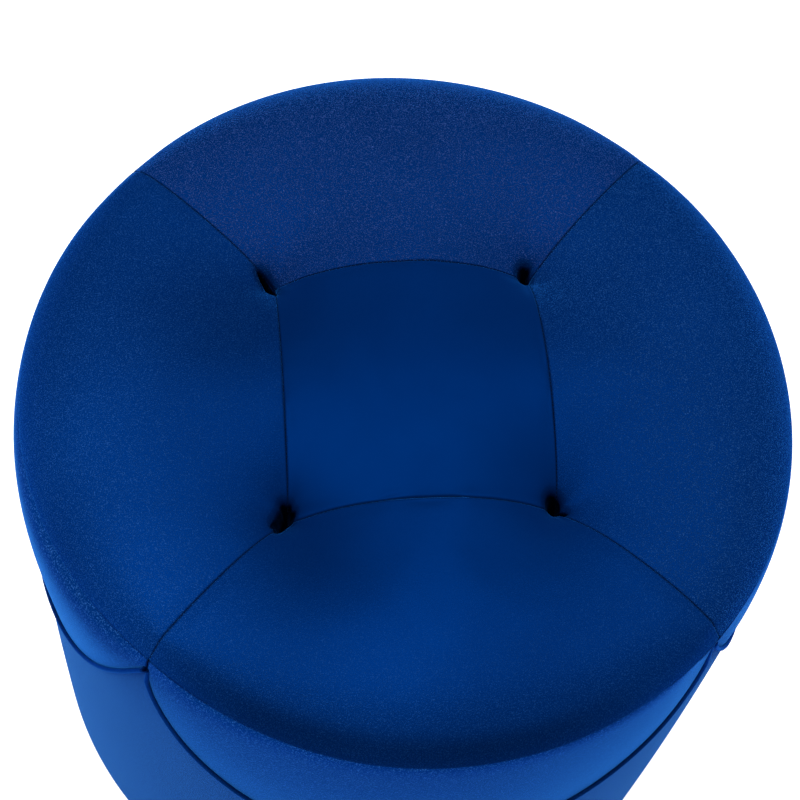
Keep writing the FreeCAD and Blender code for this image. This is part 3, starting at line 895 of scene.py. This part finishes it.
def welt_line(degrees):
    """Middle line of one length of piping, from corner to corner under its scallop."""
    aside = WELT_RADIUS / rim_r
    share = np.sin(np.linspace(-pi / 2, pi / 2, WELT_POINTS))
    phi = share * (pi / 4 - aside)
    run = wall_points(phi, scallop_depth(phi, degrees), degrees, WELT_PROUD)
    tips = []
    for end in (-1, 1):
        at = end * (pi / 4 - aside * np.array([0.9, 0.6]))
        tips.append(wall_points(at, np.full(2, CORNER_END - KNOT_LIFT), degrees, np.array(KNOT_TUCK)))
    return np.concatenate([tips[0][::-1], run, tips[1]])


welt_tree = cord_tree("piping_cord", welt_velvet)
for side, degrees in SIDES.items():
    welt = grown("piping_" + side, [welt_line(degrees)], welt_tree, Radius=WELT_RADIUS, Sides=14)
    cord = turned(read_points(welt.data), -degrees)
    aside = rim_r * (pi / 4 - np.abs(np.arctan2(cord[:, 1], cord[:, 0])))
    to_corner = np.hypot(aside, rim_z - CORNER_END - cord[:, 2])
    # Painted shade on the piping where it turns in at a corner.
    write_layer(welt.data, "pressed", KNOT_PAINTED_SHADE * np.exp(-(to_corner / KNOT_REACH) ** 2))
    painted_shade_faces(welt.data)
    stand_for(welt, "velvet_piping", "welt_" + side)


# ---------------------------------------------------------------- seams of the seat
# The panels are sewn face to face by machine with bonded navy polyester thread. Pulled tight,
# the stitches show as short dark bars down in the seam.

THREAD_RADIUS, STITCH = 0.00026, 0.0026
STITCH_LIFT = -0.0001           # the thread is just under the face of the cover
TUFT_CLEAR = 0.008              # the thread isn't seen inside a tuft
SEAM_POINTS = 120

thread, thread_nodes, thread_shader = plain_material("navy_thread", (0.0, 0.0025, 0.014), 0.7,
                                                     Specular_IOR_Level=0.05)
ply = node(thread_nodes, "ShaderNodeTexCoord", (-700, 0)).outputs["Object"]
twist = node(thread_nodes, "ShaderNodeTexNoise", (-500, 0), Vector=ply, Scale=2600.0, Detail=1.0)
surface(thread_nodes, thread_shader, None, twist.outputs["Fac"], 0.5, 0.0002)


def stitch_tree(material):
    """Short bars of thread, one to a stitch, laid end to end along the source's edges."""
    tree, given, curve = geometry_tree("stitches", {"Pitch": 0.0026, "Thread": 0.0003, "Bar": 0.7})
    even = node(tree, "GeometryNodeResampleCurve", (-600, 0), mode="LENGTH", Curve=curve,
                Length=given["Pitch"])
    tangent = node(tree, "GeometryNodeInputTangent", (-600, -300))
    turn = node(tree, "FunctionNodeAlignEulerToVector", (-400, -300), axis="Z",
                Vector=tangent.outputs["Tangent"])
    long = node(tree, "ShaderNodeMath", (-600, -500), given["Pitch"], given["Bar"], operation="MULTIPLY")
    bar = node(tree, "GeometryNodeMeshCylinder", (-400, -500), Vertices=6, Radius=given["Thread"],
               Depth=long.outputs[0])
    put = node(tree, "GeometryNodeInstanceOnPoints", (-200, 0), Points=even.outputs["Curve"],
               Instance=bar.outputs["Mesh"], Rotation=turn.outputs["Rotation"])
    return close_tree(tree, put.outputs["Instances"], material)


cover_tree = BVHTree.FromPolygons([Vector(p) for p in fine_points],
                                  [tuple(f.vertices) for f in fine_top.polygons])


def cover_height(x, y):
    """Height of the finished cover's outer face over this point of the floor."""
    hit = cover_tree.ray_cast(Vector((x, y, 1)), Vector((0, 0, -1)))[0]
    return hit.z if hit else rim_z


seam_lines = []
for sx, sy in TUFT_SIGNS.values():
    ends = square + TUFT_CLEAR, rim_r * rim_share(pi / 4) / np.sqrt(2) - 0.001
    seam_lines.append([(sx * t, sy * t) for t in np.linspace(*ends, SEAM_POINTS)])
for degrees in SIDES.values():
    run = np.linspace(-square + TUFT_CLEAR, square - TUFT_CLEAR, SEAM_POINTS)
    line = turned(np.column_stack([np.full(SEAM_POINTS, square), run, 0 * run]), degrees)
    seam_lines.append([tuple(q[:2]) for q in line])
seam_lines = [[(x, y, cover_height(x, y) + STITCH_LIFT) for x, y in line] for line in seam_lines]
stitches = grown("panel_stitches", seam_lines, stitch_tree(thread), Pitch=STITCH, Thread=THREAD_RADIUS)
stand_for(stitches, "velvet")


# ---------------------------------------------------------------- padding
# A turned block of firm foam carries the seat, with polyester wadding over it and four wells
# for the tufts. A strip of softer foam is wrapped round the drum, glued edge to edge.

foam_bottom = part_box("seat_foam")[0].z
foam_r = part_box("seat_foam")[1].x
wrap_low, wrap_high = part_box("side_foam")
wrap_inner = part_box("drum_wall")[1].x + 0.0004
WADDING_GAP, WADDING_UNDER, FOAM_GAP = 0.0026, 0.0095, 0.0105   # below the cover's face
WELL_DEPTH, WELL_RADIUS = 0.024, 0.015      # the wadding is pulled to the board at each tuft


def cells_group():
    """Open cells of foam, or the fibres of wadding, as a shade."""
    group, given, out = shader_group("cells", {"Cell size": 0.0012}, "Shade")
    place = node(group, "ShaderNodeTexCoord", (-700, 0)).outputs["Object"]
    cells = node(group, "ShaderNodeTexVoronoi", (-300, 0), Vector=place,
                 Scale=over(group, (-500, -200), given["Cell size"]))
    group.links.new(cells.outputs["Distance"], out["Shade"])
    return group


cells = cells_group()


def padding_material(name, colour, dark, cell, depth):
    """Foam or wadding, darker down in its cells."""
    material, tree, shader = plain_material(name, colour, 0.95)
    shade = node(tree, "ShaderNodeGroup", (-600, 0), node_tree=cells, Cell_size=cell).outputs["Shade"]
    surface(tree, shader, mix(tree, (-300, 100), shade, colour, dark), shade, 0.6, depth)
    return material


seat_foam_finish = padding_material("seat_foam_finish", (0.80, 0.70, 0.42), (0.62, 0.50, 0.26),
                                    0.0011, 0.0004)
side_foam_finish = padding_material("side_foam_finish", (0.84, 0.80, 0.70), (0.66, 0.61, 0.50),
                                    0.0014, 0.0005)
wadding_finish = padding_material("wadding_finish", (0.88, 0.88, 0.86), (0.72, 0.72, 0.70),
                                  0.0032, 0.0008)


def disc_pad(name, radius, top, bottom, rings, spokes, material):
    """A closed round pad between two faces, whose heights are given at each point."""
    plan = [(0, 0)] + [(radius * share * cos(t), radius * share * sin(t))
                       for share in np.linspace(0, 1, rings + 1)[1:]
                       for t in np.linspace(0, 2 * pi, spokes, endpoint=False)]
    points = [(x, y, height(x, y)) for height in (top, bottom) for x, y in plan]
    upper, last = [], 1 + (rings - 1) * spokes
    for j in range(spokes):
        upper.append((0, 1 + j, 1 + (j + 1) % spokes))
    for i in range(rings - 1):
        upper += ring_faces(1 + i * spokes, 1 + (i + 1) * spokes, spokes)
    faces = upper + [tuple(len(plan) + v for v in reversed(f)) for f in upper]
    faces += ring_faces(last, len(plan) + last, spokes)
    return mesh_object(name, points, faces, material)


def under_cover(gap):
    """Heights this far under the cover, with a well for each tuft."""
    def height(x, y):
        well = WELL_DEPTH * np.exp(-(tuft_distance(x, y) / WELL_RADIUS) ** 2)
        return cover_height(x, y) - gap - well
    return height


def finish_pad(obj, name):
    stand_for(obj, "wadding" if name == "seat_wadding" else name, name)


PAD_SPOKES, WADDING_RINGS, FOAM_RINGS = 144, 48, 44
wadding = disc_pad("seat_wadding_pad", rim_r - 0.0045, under_cover(WADDING_GAP),
                   under_cover(WADDING_UNDER), WADDING_RINGS, PAD_SPOKES, wadding_finish)
finish_pad(wadding, "seat_wadding")
foam = disc_pad("seat_foam_pad", foam_r, under_cover(FOAM_GAP), lambda x, y: foam_bottom,
                FOAM_RINGS, PAD_SPOKES, seat_foam_finish)
finish_pad(foam, "seat_foam")

WRAP_ROWS = 24
WRAP_CLEAR = 0.0022             # the side foam's outer face is this far under the cover's


def wrap_mesh():
    """The side foam: a ring between the drum and the cover, rounded at its top and bottom."""
    top_z = foam_bottom - 0.0005
    outer, inner = [], []
    for z in np.linspace(wrap_low.z, top_z, WRAP_ROWS):
        soft = min(1, (z - wrap_low.z) / foot_roll, (top_z - z) / 0.003 + 0.4)
        for t in np.linspace(0, 2 * pi, PAD_SPOKES, endpoint=False):
            side = (t + pi / 4) % (pi / 2) - pi / 4
            nearest = int(round(np.degrees(t - side))) % 360
            r = wall_radius(np.array(side), rim_z - z, -90 if nearest == 270 else nearest) - WRAP_CLEAR
            r = wrap_inner + (r - wrap_inner) * np.sqrt(max(0.0, 1 - (1 - soft) ** 2)) + 0.0003
            outer.append((r * cos(t), r * sin(t), z))
            inner.append((wrap_inner * cos(t), wrap_inner * sin(t), z))
    n, last, faces = len(outer), (WRAP_ROWS - 1) * PAD_SPOKES, []
    for a in range(0, last, PAD_SPOKES):
        b = a + PAD_SPOKES
        faces += [f[::-1] for f in ring_faces(a, b, PAD_SPOKES)]
        faces += ring_faces(n + a, n + b, PAD_SPOKES)
    faces += ring_faces(0, n, PAD_SPOKES)
    faces += [f[::-1] for f in ring_faces(last, n + last, PAD_SPOKES)]
    return outer + inner, faces


finish_pad(mesh_object("side_foam_pad", *wrap_mesh(), side_foam_finish), "side_foam")


# ---------------------------------------------------------------- boards, posts and drum wall
# Two rounds of poplar plywood are held apart by four planed pine posts. Bent fibreboard is
# stapled round the rounds, and makes the drum that the foam is glued to.


def grain_group():
    """Long streaks of wood grain, with finer pores in them."""
    group, given, out = shader_group("grain", {"Along": 3.0, "Across": 70.0}, "Streak")
    place = node(group, "ShaderNodeTexCoord", (-900, 0)).outputs["Object"]
    stretch = node(group, "ShaderNodeCombineXYZ", (-700, -200), given["Along"], given["Across"],
                   given["Across"])
    scaled = node(group, "ShaderNodeVectorMath", (-500, 0), place, stretch.outputs["Vector"],
                  operation="MULTIPLY")
    grain = node(group, "ShaderNodeTexNoise", (-300, 0), Vector=scaled.outputs["Vector"], Scale=1.0,
                 Detail=5.0, Roughness=0.62, Distortion=0.4)
    group.links.new(grain.outputs["Fac"], out["Streak"])
    return group


grain = grain_group()


def ramp_between(tree, place, factor, *stops):
    """A colour ramp with these (position, colour) stops, driven by factor."""
    ramp = node(tree, "ShaderNodeValToRGB", place, factor)
    for element, (position, colour) in zip(ramp.color_ramp.elements, stops):
        element.position, element.color = position, (*colour, 1)
    return ramp.outputs["Color"]


def ply_edges(tree, thick):
    """Bands of this thickness up an edge face, from 0 to 1 across each ply, and 0 on a flat face."""
    place = node(tree, "ShaderNodeTexCoord", (-1000, -400)).outputs
    split = node(tree, "ShaderNodeSeparateXYZ", (-800, -400), place["Object"])
    layer = node(tree, "ShaderNodeMath", (-600, -400), split.outputs["Z"], thick, operation="PINGPONG")
    edge = node(tree, "ShaderNodeMath", (-400, -400), layer.outputs[0], thick, operation="DIVIDE")
    facing = node(tree, "ShaderNodeSeparateXYZ", (-800, -600), place["Normal"])
    flat = node(tree, "ShaderNodeMath", (-700, -700), facing.outputs["Z"], operation="ABSOLUTE")
    side = node(tree, "ShaderNodeMath", (-600, -600), flat.outputs[0], 0.5, operation="LESS_THAN")
    return node(tree, "ShaderNodeMath", (-200, -400), edge.outputs[0], side.outputs[0],
                operation="MULTIPLY").outputs[0]


def wood_material(name, light, dark, along, across, plies=0.0):
    """Planed wood with its grain, and the edges of its plies if it has any."""
    material, tree, shader = plain_material(name, light, 0.7)
    streak = node(tree, "ShaderNodeGroup", (-800, 0), node_tree=grain, Along=along,
                  Across=across).outputs["Streak"]
    colour = ramp_between(tree, (-550, 100), streak, (0.32, dark), (0.62, light))
    if plies:
        colour = mix(tree, (-200, 100), ply_edges(tree, plies), colour, [c * 0.55 for c in dark])
    surface(tree, shader, colour, streak, 0.35, 0.0003)
    return material


def give_finish(material, *names):
    """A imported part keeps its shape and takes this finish."""
    for name in names:
        for part_slot in bpy.data.objects[name].material_slots:
            part_slot.material = material


give_finish(wood_material("poplar_plywood", (0.62, 0.44, 0.25), (0.44, 0.28, 0.14), 3.0, 60.0,
                          plies=0.0015), "base_board", "seat_board")
pine = wood_material("planed_pine", (0.72, 0.50, 0.26), (0.50, 0.28, 0.11), 95.0, 95.0)
give_finish(pine, *["post_" + corner for corner in TUFT_SIGNS])


def speckled_material(name, light, dark, size, roughness, depth, metallic=0.0):
    """A finish mottled between two colours, and slightly rough to the same pattern."""
    material, tree, shader = plain_material(name, light, roughness, Metallic=metallic)
    place = node(tree, "ShaderNodeTexCoord", (-900, 0)).outputs["Object"]
    mottle = node(tree, "ShaderNodeTexNoise", (-700, 0), Vector=place, Scale=1 / size, Detail=4.0,
                  Roughness=0.7).outputs["Fac"]
    colour = ramp_between(tree, (-450, 100), mottle, (0.35, dark), (0.65, light))
    surface(tree, shader, colour, mottle, 0.4, depth)
    return material


give_finish(speckled_material("fibreboard", (0.34, 0.22, 0.12), (0.22, 0.13, 0.07), 0.003, 0.85, 0.0003),
            "drum_wall")


# ---------------------------------------------------------------- twine, washers and fasteners
# Waxed twine runs from each tuft's knot through foam and board to a zinc-plated washer. The
# boards are screwed, and galvanised staples hold the wall, the cover and the dust sheet.

waxed = speckled_material("waxed_twine", (0.10, 0.13, 0.22), (0.04, 0.06, 0.12), 0.0006, 0.6, 0.0002)
zinc = speckled_material("zinc_plate", (0.68, 0.69, 0.70), (0.52, 0.53, 0.56), 0.004, 0.35, 0.0001, 1.0)
yellow_zinc = speckled_material("passivated_steel", (0.66, 0.56, 0.33), (0.50, 0.42, 0.28),
                                0.003, 0.38, 0.0001, 1.0)
wire = speckled_material("galvanised_wire", (0.62, 0.63, 0.65), (0.45, 0.46, 0.48),
                         0.002, 0.42, 0.0001, 1.0)
TWINE_RADIUS, KNOT_RADIUS = 0.0010, 0.0017
KNOT_DEPTH = 0.0035             # the knot sits this far under the cover, at the bottom of the tuft
TWINE_TURNS = 10


def twine_lines(sx, sy, low, high):
    """Two plies that wind round each other from the washer up, and a small loop in the tuft."""
    lines = []
    for start in (0, pi):
        turns = np.linspace(0, 2 * pi * TWINE_TURNS, 24 * TWINE_TURNS)
        lines.append([(sx * square + TWINE_RADIUS * 0.5 * cos(t + start),
                       sy * square + TWINE_RADIUS * 0.5 * sin(t + start),
                       low + (high - low) * t / turns[-1]) for t in turns])
    ring = np.linspace(0, 1.9 * pi, 20)
    lines.append([(sx * square + KNOT_RADIUS * cos(t), sy * square + KNOT_RADIUS * sin(t),
                   high + 0.0004 * sin(2 * t)) for t in ring])
    return lines


twine_tree = cord_tree("twine_cord", waxed)
for corner, (sx, sy) in TUFT_SIGNS.items():
    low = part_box("twine_" + corner)[0].z
    high = cover_height(sx * square, sy * square) - KNOT_DEPTH
    strand = grown("twine_ply_" + corner, twine_lines(sx, sy, low, high), twine_tree,
                   Radius=TWINE_RADIUS * 0.55, Sides=8, Gather=0.0)
    stand_for(strand, "twine", "twine_" + corner)
give_finish(zinc, *["twine_washer_" + corner for corner in TUFT_SIGNS])
give_finish(yellow_zinc, "glide_screws", "base_board_screws", "seat_board_screws")
give_finish(wire, "wall_staples", "cover_staples", "dust_sheet_staples")


# ---------------------------------------------------------------- glides
# Four moulded black nylon glides, each held by one screw in a recess. Use has scuffed the
# rounded edge that the ottoman slides on.

give_finish(speckled_material("black_nylon", (0.035, 0.036, 0.038), (0.016, 0.016, 0.018),
                              0.0015, 0.5, 0.0002), *["glide_" + side for side in SIDES])


# ---------------------------------------------------------------- dust sheet
# A round of black spun polypropylene closes the base, stapled through the cover's hem. It hangs
# a little slack between its staples and is embossed with rows of small points.

sheet_low, sheet_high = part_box("dust_sheet")
sheet_r = sheet_high.x
SHEET_SLACK, SLACK_REACH = 0.0006, 0.02
DUST_STAPLES = 20

spunbond, spun_nodes, spun_shader = plain_material("spun_polypropylene", (0.016, 0.016, 0.017), 0.75)
spun_place = node(spun_nodes, "ShaderNodeTexCoord", (-900, 0)).outputs["Object"]
spun_points = node(spun_nodes, "ShaderNodeTexVoronoi", (-650, 0), Vector=spun_place, Scale=520.0,
                   Randomness=0.15)
spun_fibres = node(spun_nodes, "ShaderNodeTexNoise", (-650, -300), Vector=spun_place, Scale=900.0,
                   Detail=3.0, Distortion=1.5)
spun_colour = ramp_between(spun_nodes, (-400, 150), spun_fibres.outputs["Fac"],
                           (0.35, (0.010, 0.010, 0.011)), (0.7, (0.034, 0.034, 0.036)))
surface(spun_nodes, spun_shader, spun_colour, spun_points.outputs["Distance"], 0.6, 0.0002)


def sheet_drop(x, y):
    """How far the sheet hangs at this point: nothing at a staple, a little between."""
    between = 0.5 - 0.5 * np.cos(DUST_STAPLES * np.arctan2(y, x))
    return -SHEET_SLACK * between * np.exp(-((sheet_r - np.hypot(x, y)) / SLACK_REACH) ** 2)


dust = disc_pad("dust_sheet_cloth", sheet_r, lambda x, y: sheet_high.z - 0.0001 + sheet_drop(x, y),
                lambda x, y: sheet_low.z + sheet_drop(x, y), 40, 160, spunbond)
stand_for(dust, "dust_sheet", "dust_sheet")


# ---------------------------------------------------------------- closing
low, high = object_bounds()
